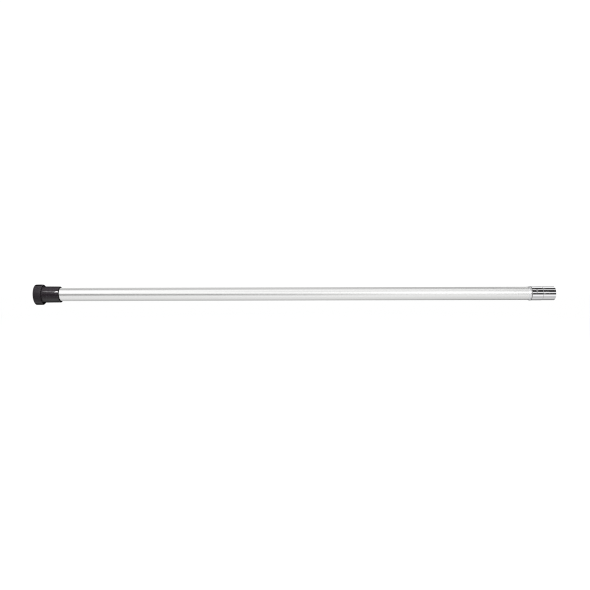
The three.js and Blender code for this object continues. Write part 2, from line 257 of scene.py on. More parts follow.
# rubber foot: two ring grooves in the ground face, a thick head, a slimmer sleeve
HEAD_END = foot_start + 14.5
SLEEVE_R = 15.17
foot_rows = [(foot_start, 0, 0)]
for groove_r in (5.6, 11.2):
    foot_rows += [
        (foot_start, groove_r, 0.25),
        (foot_start + 1.1, groove_r + 0.45, 0.35),
        (foot_start + 1.1, groove_r + 1.55, 0.35),
        (foot_start, groove_r + 2.0, 0.25),
    ]
foot_rows += [
    (foot_start, foot_r - 0.12, 1.3),
    (foot_start + 5.0, foot_r, 0),
    (HEAD_END - 5.0, foot_r, 0),
    (HEAD_END - 0.2, foot_r - 0.2, 1.9),
    (HEAD_END + 0.2, SLEEVE_R + 0.1, 0.5),
    (foot_end - 14.0, SLEEVE_R, 0),
    (foot_end, SLEEVE_R - 0.1, 0.7),
    (foot_end, FIT_R, 0.35),
    (foot_start + 6.0, FIT_R, 0.4),
    (foot_start + 6.0, 0, 0),
]
foot = turned(foot_rows, 160)

# The moulded sleeve is cut off slightly out of square, and the heavy head leans and
# hangs low on the tube.
SLEEVE_SLANT, HEAD_LEAN = 0.055, 0.03  # shift along X per unit of height
HEAD_DROOP = 0.33
for vert in foot.data.vertices:
    along, out = vert.co.x / MM, math.hypot(vert.co.y, vert.co.z) / MM
    if out > tube_r + 0.01:
        reach = min(max((along - 9.0) / 30.0, 0.0), 1.0)
        vert.co.x -= SLEEVE_SLANT * reach * vert.co.z
    if along < 3.0 or out > tube_r + 0.4:
        lean = min(max(1.0 - along / HEAD_END, 0.0), 1.0)
        vert.co.x -= HEAD_LEAN * lean * vert.co.z
        droop = min(max((HEAD_END + 1.0 - along) / 3.0, 0.0), 1.0)
        vert.co.z -= HEAD_DROOP * MM * droop * droop * (3 - 2 * droop)
piece("rubber_foot", foot)

# foot washer: a solid disc
start, end, r = span("foot_washer")
piece("foot_washer", turned([(start, 0, 0), (start, r, 0.25), (end, r, 0.25), (end, 0, 0)], 96))

# butt plug: a hollow plug with three raised rings inside the tube
start, end, r = span("butt_plug")
plug_rows = [
    (start, 0, 0), (start, r, 0.25),
    (tube_start - 0.15, r, 0.1), (tube_start - 0.15, TUBE_BORE - 0.5, 0.15),
    (13.3, TUBE_BORE - 0.55, 0.1), (13.8, TUBE_BORE - 0.08, 0.12),
    (16.4, TUBE_BORE - 0.6, 0.1),
    (17.1, TUBE_BORE - 0.55, 0.05), (17.6, TUBE_BORE - 0.08, 0.12),
    (20.2, TUBE_BORE - 0.6, 0.1),
    (20.9, TUBE_BORE - 0.55, 0.05), (21.4, TUBE_BORE - 0.08, 0.12),
    (24.2, TUBE_BORE - 0.65, 0.2), (end, TUBE_BORE - 1.1, 0.5),
    (end, 8.8, 0.4), (11.6, 8.8, 0.8), (11.6, 0, 0),
]
piece("butt_plug", turned(plug_rows, 96))

# Two rivets face each other across the collar. Each wall they pass through has a
# ring of vertices on either side of the holes.
RIVET_ANGLE = 19.0  # tilt of the rivets' line from Y
SHANK_R = 1.2
rivet_x = middle("collar_rivet_front")
before_rivet, after_rivet = rivet_x - 3.2, rivet_x + 3.2


def rivet_hole():
    return hole(rivet_x, SHANK_R, angle=90 - RIVET_ANGLE)


# outer tube
tube_rows = [
    (tube_start, TUBE_BORE, 0.12), (tube_start, tube_r, 0.2),
    (foot_end + 20, tube_r, 0), (collar_start - 20, tube_r, 0),
    (before_rivet, tube_r, 0), (after_rivet, tube_r, 0),
    (tube_end, tube_r, 0.2), (tube_end, TUBE_BORE, 0.12),
    (after_rivet, TUBE_BORE, 0), (before_rivet, TUBE_BORE, 0),
    (collar_start - 20, TUBE_BORE, 0), (foot_end + 20, TUBE_BORE, 0),
]
piece("outer_tube", joined(turned(tube_rows, 160), rivet_hole()))

# mouth collar: a lip, a narrow groove, then a barrel that tapers towards the mouth
MOUTH_R, BARREL_R = 13.25, 13.5
GROOVE_WIDTH = 0.9
groove_start = collar_start + 5.1


def barrel(x):
    """Radius of the collar's barrel at x."""
    part = (x - groove_start - GROOVE_WIDTH) / (collar_end - groove_start - GROOVE_WIDTH)
    return BARREL_R + (MOUTH_R - BARREL_R) * part


collar_rows = [
    (collar_start + 0.3, FIT_R, 0.1),
    (collar_start, FIT_R, 0.0),
    (collar_start, tube_r + 0.22, 0.06),
    (collar_start + 3.0, tube_r + 0.40, 0.7),
    (collar_start + 3.9, lip_r, 0.4),
    (groove_start - 0.1, lip_r, 0.35),
    (groove_start, tube_r + 0.3, 0.15),
    (groove_start + GROOVE_WIDTH, tube_r + 0.3, 0.15),
    (groove_start + GROOVE_WIDTH, BARREL_R, 0.12),
    (before_rivet, barrel(before_rivet), 0),
    (after_rivet, barrel(after_rivet), 0),
    (collar_end, MOUTH_R, 0.25),
    (collar_end, 11.25, 0.2),
    (collar_end - 0.85, 11.25, 0.1),
    (collar_end - 0.85, FIT_R, 0.15),
    (after_rivet, FIT_R, 0),
    (before_rivet, FIT_R, 0),
]
piece("mouth_collar", joined(turned(collar_rows, 160), rivet_hole(), sharp_angle=40))

# guide bush: a liner inside the tube, with a flange over the tube's end
start, end, r = span("guide_bush")
LINER_R, LINER_BORE = 11.62, 11.12
bush_rows = [
    (start, LINER_BORE + 0.25, 0.1), (start, LINER_R, 0.15),
    (before_rivet, LINER_R, 0), (after_rivet, LINER_R, 0),
    (tube_end + 0.15, LINER_R, 0.05), (tube_end + 0.15, r, 0.2),
    (end, r, 0.3), (end, LINER_BORE + 0.25, 0.1), (end - 1.0, LINER_BORE, 0.2),
    (after_rivet, LINER_BORE, 0), (before_rivet, LINER_BORE, 0),
    (start + 1.6, LINER_BORE, 0.3),
]
piece("guide_bush", joined(turned(bush_rows, 128), rivet_hole()))


def rivet(angle):
    """Low dome on a shank; the head is dressed down onto the round collar."""
    head_r, dome_height, dome_steps = 2.9, 0.85, 8
    top = barrel(rivet_x)
    rows = [(12.3, 0, 0), (12.3, head_r, 0.0)]
    for k in range(dome_steps + 1):
        rise = math.radians(90) * k / dome_steps
        r = head_r * math.cos(rise) if k < dome_steps else 0
        rows.append((top - 0.05 + dome_height * math.sin(rise), r, 0))
    dome = turned(rows, 64)
    # the barrel's surface for 8 mm to each side, cut away from the head
    seat_start_r, seat_end_r = barrel(rivet_x - 8) + 0.03, barrel(rivet_x + 8) + 0.03
    seat = turned([(-8, 0, 0), (-8, seat_start_r, 0), (8, seat_end_r, 0), (8, 0, 0)], 256)
    dome.data.transform(X_TO_Z)
    joined(dome, seat)
    shank = turned([(11.42, 0, 0), (11.42, SHANK_R, 0.15), (13.5, SHANK_R, 0), (13.5, 0, 0)], 48)
    shank.data.transform(X_TO_Z)
    joined(dome, shank, operation="UNION")
    return stand(dome, rivet_x, angle)


piece("collar_rivet_front", rivet(90 - RIVET_ANGLE))
piece("collar_rivet_back", rivet(270 - RIVET_ANGLE))

# --------------------------------------------------------------- inner section
# glide sleeve: a thin ring, slotted underneath, a little thicker at its ends
start, glide_end, _ = span("glide_sleeve")
half_slot = math.degrees(0.7 / 11.34)
glide_rows = [
    (start, 11.1, 0.1), (start, 11.58, 0.2),
    (start + 6.0, 11.58, 0.1), (start + 6.15, 11.5, 0.05),
    (glide_end - 6.15, 11.5, 0.05), (glide_end - 6.0, 11.58, 0.1),
    (glide_end, 11.58, 0.2), (glide_end, 11.1, 0.1),
]
piece("glide_sleeve", turned(glide_rows, 120, sweep=(-90 + half_slot, 270 - half_slot)))

# inner tube: a raised bead follows the glide sleeve; a pin crosses near each end
inner_start, inner_end, _ = span("inner_tube")
bead = glide_end + 0.3
PLUG_PIN_R, TIP_PIN_R = 1.5, 2.0
plug_pin_x, tip_pin_x = middle("plug_pin"), middle("tip_pin")
INNER_R, INNER_BORE = 11.0, 10.2
inner_rows = [
    (inner_start, INNER_BORE, 0.12), (inner_start, INNER_R, 0.15),
    (plug_pin_x - 2.6, INNER_R, 0), (plug_pin_x + 2.6, INNER_R, 0),
    (bead, INNER_R, 0.3), (bead + 0.9, 11.42, 0.5),
    (bead + 3.1, 11.42, 0.5), (bead + 4.0, INNER_R, 0.3),
    (bead + 30, INNER_R, 0), (tip_pin_x - 30, INNER_R, 0),
    (tip_pin_x - 3, INNER_R, 0), (tip_pin_x + 3, INNER_R, 0),
    (inner_end, INNER_R, 0.15), (inner_end, INNER_BORE, 0.12),
    (tip_pin_x + 3, INNER_BORE, 0), (tip_pin_x - 3, INNER_BORE, 0),
    (tip_pin_x - 30, INNER_BORE, 0), (bead + 30, INNER_BORE, 0),
    (plug_pin_x + 2.6, INNER_BORE, 0), (plug_pin_x - 2.6, INNER_BORE, 0),
]
inner_holes = hole(plug_pin_x, PLUG_PIN_R), hole(tip_pin_x, TIP_PIN_R)
# The cutters are made after the tube they cut.
piece("inner_tube", joined(turned(inner_rows, 144), *inner_holes))

# lock plug: two journals, one low and one high, then a flange and the plug itself
start, end, flange_r = span("lock_plug")
upper_start = span("upper_cam")[0]
lower_start, lower_end, _ = span("lower_cam")
THROW = 0.9  # how far each journal is off the axis
JOURNAL_R, SCREW_HOLE_R, PLUG_R = 5.0, 2.1, 10.12
split = (lower_end + upper_start) / 2
flange_start = inner_start - 2.6
lock_rows = [
    (52.5, 0, 0), (52.5, SCREW_HOLE_R, 0.2), (start, SCREW_HOLE_R, 0.2, 0),
    (start, JOURNAL_R, 0.3, -THROW), (split - 0.35, JOURNAL_R, 0.12, -THROW),
    (split - 0.35, 3.95, 0.1, 0), (split + 0.35, 3.95, 0.1, 0),
    (split + 0.35, JOURNAL_R, 0.12, THROW), (flange_start, JOURNAL_R, 0.2, THROW),
    (flange_start, flange_r, 0.35, 0), (inner_start - 0.1, flange_r, 0.25),
    (inner_start - 0.1, PLUG_R, 0.15),
    (plug_pin_x - 2.6, PLUG_R, 0), (plug_pin_x + 2.6, PLUG_R, 0),
    (end - 1.6, PLUG_R, 0.5), (end, 9.2, 0.3), (end, 6.5, 0.3),
    (plug_pin_x + 5, 6.5, 0.8), (plug_pin_x + 5, 0, 0),
]
piece("lock_plug", joined(turned(lock_rows, 96), hole(plug_pin_x, PLUG_PIN_R)))
piece("plug_pin", rod(plug_pin_x, 10.9, PLUG_PIN_R, chamfer=0.3))
piece("tip_pin", rod(tip_pin_x, 10.9, TIP_PIN_R, chamfer=0.35))

# cams: round rings with an off-centre bore, each with a rubber band in its groove
CAM_LENGTH, CAM_R = 10.0, 10.85
BAND_HALF = 2.0


def cam(start, shift):
    end, mid = start + CAM_LENGTH, start + CAM_LENGTH / 2
    groove_half = BAND_HALF + 0.08
    rows = [
        (start, CAM_R, 0.5),
        (mid - groove_half, CAM_R, 0.2), (mid - groove_half, 9.82, 0.15),
        (mid + groove_half, 9.82, 0.15), (mid + groove_half, CAM_R, 0.2),
        (end, CAM_R, 0.5), (end, 5.12, 0.3, shift), (start, 5.12, 0.3, shift),
    ]
    return turned(rows, 120)


def band(cam_start):
    mid = cam_start + CAM_LENGTH / 2
    start, end = mid - BAND_HALF, mid + BAND_HALF
    rows = [(start, 9.9, 0.15), (start, 10.93, 0.45), (end, 10.93, 0.45), (end, 9.9, 0.15)]
    return turned(rows, 120)


for node, start, shift in (
    ("upper_cam", upper_start, THROW),
    ("lower_cam", lower_start, -THROW),
):
    piece(node, cam(start, shift))
    piece(node + "_band", band(start))

flat_ring("cam_spacer", bore_r=6.15, fillet=0.2)
flat_ring("end_washer", bore_r=2.6, fillet=0.25)


def recess_arm(screw_start, size_y, size_z):
    """A tapered slot cutter, one arm of the screw's cross recess."""
    depth = 1.6
    verts = []
    for x, scale in ((screw_start - 1, 1.25), (screw_start + depth, 0.55)):
        for side_y, side_z in ((-1, -1), (1, -1), (1, 1), (-1, 1)):
            verts.append((x, side_y * size_y / 2 * scale, side_z * size_z / 2 * scale))
    faces = [
        (0, 1, 2, 3), (7, 6, 5, 4), (0, 4, 5, 1),
        (1, 5, 6, 2), (2, 6, 7, 3), (3, 7, 4, 0),
    ]
    return make(verts, faces)


def end_screw():
    """A domed head with a cross recess; the thread is drawn as rings."""
    start, end, head_r = span("end_screw")
    crest_r, root_r, pitch = 1.92, 1.62, 0.8
    rows = [
        (start, 0, 0), (start, 2.7, 0.3), (start + 1.4, head_r, 0.6),
        (start + 2.6, head_r, 0.15), (start + 2.6, crest_r, 0.1),
    ]
    x = start + 4.0
    while x < end - 1.2:
        rows += [(x, crest_r, 0.05), (x + 0.4, root_r, 0.05), (x + pitch, crest_r, 0.05)]
        x += pitch
    rows += [(end, 1.3, 0.2), (end, 0, 0)]
    # neighbouring rings share a crest, which is kept once
    screw = turned(list(dict.fromkeys(rows)), 48)
    return joined(screw, recess_arm(start, 4.4, 0.95), recess_arm(start, 0.95, 4.4))


piece("end_screw", end_screw())

# ------------------------------------------------------------------------- tip
THREAD_SEGMENTS = 72


def tooth(facet):
    """Acme form: 0 at the root, 1 at the crest, counted in facets of lead."""
    turn = (facet % THREAD_SEGMENTS) / THREAD_SEGMENTS
    crest, flank = 0.36, 0.13
    lo = 0.5 - crest / 2
    hi = 0.5 + crest / 2
    if turn < lo - flank or turn > hi + flank:
        return 0.0
    if turn < lo:
        return (turn - (lo - flank)) / flank
    if turn > hi:
        return ((hi + flank) - turn) / flank
    return 1.0


def threaded_socket():
    """The socket's body is turned; the wall of its bore carries a real helix: each
    row of the grid is one facet of lead, so the crests run true along diagonals."""
    start, end, head_r = span("threaded_socket")
    head = inner_end + 0.2
    major, minor, pitch = 9.7, 7.2, 5.08
    floor_x, inner_face, hole_r = 950.8, 948.2, 4.0
    lead = pitch / THREAD_SEGMENTS
    rows = int((end - 0.9 - floor_x) / lead)
    thread_end = floor_x + rows * pitch / THREAD_SEGMENTS
    outside = [
        (inner_face, 7.0, 0.6), (start, 7.0, 0.4), (start, PLUG_R, 0.9),
        (tip_pin_x - 3.0, PLUG_R, 0), (tip_pin_x + 3.0, PLUG_R, 0),
        (head, PLUG_R, 0.1), (head, head_r, 0.3), (end, head_r, 0.4),
        (end, major + 0.55, 0.1), (thread_end, major, 0),
    ]
    verts, faces = [], []

    def loop(x, radii):
        first = len(verts)
        for i, r in enumerate(radii):
            angle = 2 * math.pi * i / THREAD_SEGMENTS
            verts.append((x, r * math.cos(angle), r * math.sin(angle)))
        return first

    def plain(x, r):
        return loop(x, [r] * THREAD_SEGMENTS)

    body = [plain(x, r) for x, r, _ in rounded(outside, False)]
    thread = []
    for j in range(rows - 1, 0, -1):
        x = floor_x + j * pitch / THREAD_SEGMENTS
        fade = min(1.0, (thread_end - x) / 1.6, (x - floor_x) / 2.4)
        radii = [major - (major - minor) * tooth(j - i) * fade for i in range(THREAD_SEGMENTS)]
        thread.append(loop(x, radii))
    floor_rows = (floor_x, major), (floor_x, hole_r), (inner_face, hole_r)
    chain = body + thread + [plain(x, r) for x, r in floor_rows]
    for n, (a, b) in enumerate(zip(chain, chain[1:] + chain[:1])):
        threaded = len(body) - 1 <= n < len(body) + len(thread)
        for i in range(THREAD_SEGMENTS):
            h = (i + 1) % THREAD_SEGMENTS
            if threaded:  # split along the helix
                faces.append((a + i, a + h, b + i))
                faces.append((a + h, b + h, b + i))
            else:
                faces.append((a + i, a + h, b + h, b + i))
    return joined(make(verts, faces, 30), hole(tip_pin_x, TIP_PIN_R), sharp_angle=30)


piece("threaded_socket", threaded_socket())

# tip ferrule: a thin cap round the socket, turned in at its end
ferrule_rows = [
    (ferrule_start, 12.22, 0.1), (ferrule_start, ferrule_r, 0.18),
    (ferrule_end, ferrule_r, 0.3), (ferrule_end, 10.1, 0.3),
    (ferrule_end - 0.7, 10.1, 0.2), (ferrule_end - 0.7, 12.22, 0.3),
]
piece("tip_ferrule", turned(ferrule_rows, 160))


# ------------------------------------------------------------------- materials
def grey(level):
    return (level,) * 3


class Nodes:
    """Short calls that add nodes to a tree, most giving back an output socket."""

    def __init__(self, tree):
        self.tree = tree
        tree.nodes.clear()

    def new(self, kind):
        return self.tree.nodes.new("ShaderNode" + kind)

    def put(self, socket, value):
        """Links an output to an input, or sets the input to a number or RGB colour."""
        if isinstance(value, bpy.types.NodeSocket):
            self.tree.links.new(value, socket)
        else:
            socket.default_value = (*value, 1) if isinstance(value, tuple) else value

    def split(self, vector):
        """The X, Y and Z outputs of a vector."""
        node = self.new("SeparateXYZ")
        self.put(node.inputs[0], vector)
        return node.outputs

    def ramp(self, fac, stops, interpolation="LINEAR"):
        """A colour ramp from (position, RGB) stops."""
        node = self.new("ValToRGB")
        node.color_ramp.interpolation = interpolation
        elements = node.color_ramp.elements
        while len(elements) > 1:
            elements.remove(elements[-1])
        elements[0].position = stops[0][0]
        elements[0].color = (*stops[0][1], 1)
        for position, colour in stops[1:]:
            elements.new(position).color = (*colour, 1)
        self.put(node.inputs["Fac"], fac)
        return node.outputs["Color"]

    def remap(self, value, span, to=(0.0, 1.0), smooth=False):
        node = self.new("MapRange")
        if smooth:
            node.interpolation_type = "SMOOTHSTEP"
        for key, limit in zip(("From Min", "From Max", "To Min", "To Max"), (*span, *to)):
            node.inputs[key].default_value = limit
        self.put(node.inputs["Value"], value)
        return node.outputs[0]

    def math(self, operation, a, b=None, clamp=False):
        node = self.new("Math")
        node.operation = operation
        node.use_clamp = clamp
        self.put(node.inputs[0], a)
        if b is not None:
            self.put(node.inputs[1], b)
        return node.outputs[0]

    def mix(self, fac, a, b, blend="MIX"):
        """Mixes two colours."""
        node = self.new("Mix")
        node.data_type = "RGBA"
        node.blend_type = blend
        for key, value in ((0, fac), (6, a), (7, b)):
            self.put(node.inputs[key], value)
        return node.outputs[2]

    def mix_value(self, fac, a, b):
        node = self.new("Mix")
        node.data_type = "FLOAT"
        for key, value in ((0, fac), (2, a), (3, b)):
            self.put(node.inputs[key], value)
        return node.outputs[0]


class Surface(Nodes):
    """A material with one Principled shader, textured in object coordinates."""

    def __init__(self, name):
        self.material = bpy.data.materials.new(name)
        self.material.use_nodes = True
        super().__init__(self.material.node_tree)
        output = self.new("OutputMaterial")
        self.shader = self.new("BsdfPrincipled")
        self.put(output.inputs["Surface"], self.shader.outputs["BSDF"])
        self.position = self.new("TexCoord").outputs["Object"]

    def noise(self, scale=1.0, stretch=(1, 1, 1), detail=3.0, rough=0.55, distortion=0.0):
        mapping = self.new("Mapping")
        mapping.inputs["Scale"].default_value = stretch
        self.put(mapping.inputs["Vector"], self.position)
        node = self.new("TexNoise")
        node.inputs["Scale"].default_value = scale
        node.inputs["Detail"].default_value = detail
        node.inputs["Roughness"].default_value = rough
        node.inputs["Distortion"].default_value = distortion
        self.put(node.inputs["Vector"], mapping.outputs["Vector"])
        return node.outputs["Fac"]

    def bump(self, height, strength, distance, normal=None):
        node = self.new("Bump")
        node.inputs["Strength"].default_value = strength
        node.inputs["Distance"].default_value = distance
        self.put(node.inputs["Height"], height)
        if normal:
            self.put(node.inputs["Normal"], normal)
        return node.outputs["Normal"]

    def finish(self, colour, rough, metal, normal):
        inputs = self.shader.inputs
        self.put(inputs["Base Color"], colour)
        self.put(inputs["Roughness"], rough)
        self.put(inputs["Metallic"], metal)
        self.put(inputs["Normal"], normal)
        return self.material


MIDDLE = (0.3, 0.7)  # the range in which most of a noise's values fall


def aluminium_tube():
    m = Surface("aluminium_tube")
    lines = m.noise(stretch=(2.0, 1800.0, 1800.0), detail=2.0)  # drawing lines along X
    streaks = m.noise(stretch=(0.8, 420.0, 420.0), detail=2.0)
    clouds = m.noise(scale=7.0, stretch=(1.0, 3.0, 3.0))
    scuffs = m.noise(stretch=(38.0, 520.0, 520.0), rough=0.6, distortion=0.3)
    tone = m.ramp(streaks, [(0.3, (0.770, 0.770, 0.766)), (0.7, (0.808, 0.807, 0.800))])
    marks = m.ramp(scuffs, [(0.0, grey(1)), (0.68, grey(1)), (0.80, grey(0.965))])
    colour = m.mix(1.0, tone, marks, blend="MULTIPLY")
    line_rough = m.remap(lines, MIDDLE, to=(-0.012, 0.012))
    cloud_rough = m.remap(clouds, MIDDLE, to=(0.24, 0.27))
    scuff_rough = m.remap(scuffs, (0.68, 0.82), to=(0.0, 0.04))
    rough = m.math("ADD", line_rough, cloud_rough)
    rough = m.math("ADD", rough, scuff_rough, clamp=True)
    normal = m.bump(lines, strength=0.03, distance=0.00001)
    return m.finish(colour, rough, metal=1.0, normal=normal)


def chrome_plate():
    m = Surface("chrome_plate")
    smudge = m.noise(scale=140.0, detail=5.0, rough=0.6, distortion=0.3)
    hairlines = m.noise(stretch=(260.0, 2000.0, 2000.0), detail=2.0)
    wave = m.noise(scale=150.0, stretch=(0.35, 1, 1), detail=1.0)
    along = m.split(m.position)["X"]
    clean = m.ramp(smudge, [(0.35, (0.70, 0.705, 0.715)), (0.7, (0.74, 0.74, 0.745))])
    # painted shade: the groove behind the lip and the seam before the ferrule are darkened in
    # the colour, where shade falls in them
    grooves = (
        (groove_start + GROOVE_WIDTH / 2, 0.55),  # centre, half width
        ((collar_end + ferrule_start) / 2, 0.20),
    )
    masks = []
    for centre, half in grooves:
        distance = m.math("ABSOLUTE", m.math("SUBTRACT", along, centre * MM))
        masks.append(m.remap(distance, (half * MM, half * 1.5 * MM), to=(1.0, 0.0)))
    groove_shade = m.math("MAXIMUM", *masks)
    patches = m.remap(smudge, (0.3, 0.6), to=(0.75, 1.0))
    groove_shade = m.math("MULTIPLY", groove_shade, patches, clamp=True)
    # painted shade: the groove and the seam are mixed towards near black, broken up by the
    # smudge patches
    colour = m.mix(groove_shade, clean, (0.16, 0.155, 0.155))
    smudge_rough = m.remap(smudge, (0.42, 0.75), to=(0.03, 0.09))
    hairline_rough = m.remap(hairlines, (0.5, 0.8), to=(0.0, 0.025))
    rough = m.math("ADD", smudge_rough, hairline_rough, clamp=True)
    groove_shade_rough = m.math("MULTIPLY", groove_shade, 0.3)
    rough = m.math("ADD", rough, groove_shade_rough, clamp=True)
    normal = m.bump(wave, strength=0.06, distance=0.00012)
    return m.finish(colour, rough, metal=1.0, normal=normal)


def black_rubber():
    m = Surface("black_rubber")
    grain = m.noise(scale=2200.0, detail=2.0, rough=0.6)
    mottle = m.noise(scale=420.0, detail=4.0, rough=0.65)
    dust = m.noise(scale=90.0, detail=4.0, rough=0.6)
    along = m.split(m.position)["X"]
    # 0 on the head, 1 on the slim sleeve, which is smoother
    sleeve = m.remap(along, ((HEAD_END - 0.5) * MM, (HEAD_END + 2.0) * MM))
    colour = m.ramp(mottle, [
        (0.3, (0.0070, 0.0050, 0.0068)),
        (0.55, (0.0130, 0.0100, 0.0128)),
        (0.75, (0.036, 0.0295, 0.0355)),
    ])
    # pale scuffing and dust on the ground-contact end
    near_ground = m.remap(along, (0.0, 0.0016), to=(1.0, 0.0))
    dusting = m.remap(dust, (0.45, 0.75), to=(0.0, 0.45))
    dusting = m.math("MULTIPLY", near_ground, dusting, clamp=True)
    colour = m.mix(dusting, colour, (0.075, 0.070, 0.067))
    # the sheen dies off where the surface turns away, and there the colour is darkened towards
    # black as painted shade
    weight = m.new("LayerWeight")
    weight.inputs["Blend"].default_value = 0.5
    facing = weight.outputs["Facing"]
    rim = m.remap(facing, (0.46, 0.60))
    # except on the shoulder behind the head's top edge, which catches the light
    normal = m.split(m.new("NewGeometry").outputs["Normal"])
    ahead = m.remap(normal["X"], (0.15, 0.45))
    above = m.remap(normal["Z"], (0.25, 0.55))
    shoulder = m.math("MULTIPLY", ahead, above)
    elsewhere = m.math("SUBTRACT", 1.0, shoulder, clamp=True)
    silhouette_shade = m.math("MULTIPLY", m.math("MULTIPLY", rim, elsewhere), 0.85)
    # painted shade: the colour is darkened along the silhouette rim, but not on the shoulder
    colour = m.mix(silhouette_shade, colour, grey(0.002))
    sheen = m.ramp(facing, [
        (0.0, grey(0.17)), (0.22, grey(0.21)), (0.42, grey(0.42)),
        (0.47, grey(0.36)), (0.56, grey(0.0)),
    ])
    sheen = m.math("MAXIMUM", sheen, m.math("MULTIPLY", shoulder, 0.35))
    m.put(m.shader.inputs["Specular IOR Level"], sheen)
    head_rough = m.remap(mottle, MIDDLE, to=(0.46, 0.62))
    sleeve_rough = m.remap(mottle, MIDDLE, to=(0.10, 0.15))
    rough = m.mix_value(sleeve, head_rough, sleeve_rough)
    # both bumps weaken from the head to the sleeve
    fine = m.bump(grain, strength=0.5, distance=0.00006)
    m.put(fine.node.inputs["Strength"], m.remap(sleeve, (0.0, 1.0), to=(0.55, 0.12)))
    coarse = m.bump(mottle, strength=0.25, distance=0.0001, normal=fine)
    m.put(coarse.node.inputs["Strength"], m.remap(sleeve, (0.0, 1.0), to=(0.25, 0.10)))
    return m.finish(colour, rough, metal=0.0, normal=coarse)


def moulded(name, dark, light, rough, bump=0.15, subsurface=None):
    """Fine-grained plastic or rubber, clouded between two colours."""
    m = Surface(name)
    grain = m.noise(scale=1400.0)
    clouds = m.noise(scale=70.0, stretch=(0.4, 1, 1), detail=4.0)
    tone = m.ramp(clouds, [(0.3, dark), (0.7, light)])
    grain_rough = m.remap(grain, MIDDLE, to=(rough - 0.06, rough + 0.06))
    normal = m.bump(grain, strength=bump, distance=0.00004)
    if subsurface:
        m.put(m.shader.inputs["Subsurface Weight"], subsurface)
        m.put(m.shader.inputs["Subsurface Scale"], 0.001)
    return m.finish(tone, grain_rough, metal=0.0, normal=normal)


def plated_steel(name, dark, light, duller=0.0, shaded_rim=False):
    m = Surface(name)
    spangle = m.new("TexVoronoi")
    spangle.inputs["Scale"].default_value = 900.0
    m.put(spangle.inputs["Vector"], m.position)
    lines = m.noise(stretch=(4200.0, 300.0, 300.0), detail=2.0)
    tint = m.noise(scale=160.0)
    colour = m.ramp(tint, [(0.3, dark), (0.7, light)])
    spangle_rough = m.remap(
        spangle.outputs["Distance"], (0.0, 0.8), to=(0.22 + duller, 0.34 + duller)
    )
    line_rough = m.remap(lines, MIDDLE, to=(-0.03, 0.05))
    rough = m.math("ADD", spangle_rough, line_rough, clamp=True)
    normal = m.bump(lines, strength=0.15, distance=0.00002)
    if shaded_rim:  # painted shade round the edge of a rivet's head, darkened by distance from its axis
        place = m.split(m.position)
        tilt = math.radians(RIVET_ANGLE)
        offset_x = m.math("SUBTRACT", place["X"], rivet_x * MM)
        part_y = m.math("MULTIPLY", place["Y"], math.sin(tilt))
        part_z = m.math("MULTIPLY", place["Z"], math.cos(tilt))
        offset_round = m.math("ADD", part_y, part_z)
        squares = [
            m.math("POWER", m.math("ABSOLUTE", offset), 2.0)
            for offset in (offset_x, offset_round)
        ]
        distance = m.math("SQRT", m.math("ADD", *squares))
        # painted shade: the colour darkens towards near black round the rim of the head
        edge = m.remap(distance, (1.5 * MM, 2.4 * MM), to=(0.0, 0.92))
        colour = m.mix(edge, colour, (0.035, 0.034, 0.036))
    return m.finish(colour, rough, metal=1.0, normal=normal)


def cast_zinc():
    m = Surface("die_cast_zinc")
    grain = m.noise(scale=1500.0, detail=4.0, rough=0.65)
    flow = m.noise(scale=120.0, detail=4.0, rough=0.6, distortion=0.8)
    tone = m.ramp(flow, [(0.3, (0.40, 0.41, 0.43)), (0.7, (0.53, 0.53, 0.54))])
    rough = m.remap(grain, MIDDLE, to=(0.36, 0.52))
    normal = m.bump(grain, strength=0.3, distance=0.00005)
    return m.finish(tone, rough, metal=1.0, normal=normal)


MATERIALS = {
    "aluminium_tube": aluminium_tube(),
    "chrome_plate": chrome_plate(),
    "black_rubber": black_rubber(),
    "band_rubber": moulded(
        "band_rubber",
        dark=(0.012, 0.012, 0.012), light=(0.022, 0.021, 0.021), rough=0.6, bump=0.3,
    ),
    "natural_nylon": moulded(
        "natural_nylon",
        dark=(0.70, 0.67, 0.59), light=(0.78, 0.76, 0.69), rough=0.42, subsurface=0.15,
    ),
    "black_acetal": moulded(
        "black_acetal", dark=(0.014, 0.015, 0.017), light=(0.024, 0.025, 0.028), rough=0.36
    ),
    "zinc_plated_steel": plated_steel(
        "zinc_plated_steel", dark=(0.46, 0.47, 0.50), light=(0.56, 0.55, 0.53)
    ),
    "die_cast_zinc": cast_zinc(),
}
# rivets: a darker plated steel, with painted shade round each head's edge
RIVET_STEEL = plated_steel(
    "rivet_steel",
    dark=(0.22, 0.22, 0.235), light=(0.32, 0.315, 0.31), duller=0.06, shaded_rim=True,
)
for node, obj in PIECES.items():
    rivets = node.startswith("collar_rivet")
    obj.data.materials.clear()
    obj.data.materials.append(RIVET_STEEL if rivets else MATERIALS[SLOTS[node]])
for node, obj in frame["nodes"].items():
    obj.data.materials.clear()
    obj.data.materials.append(MATERIALS[SLOTS[node]])

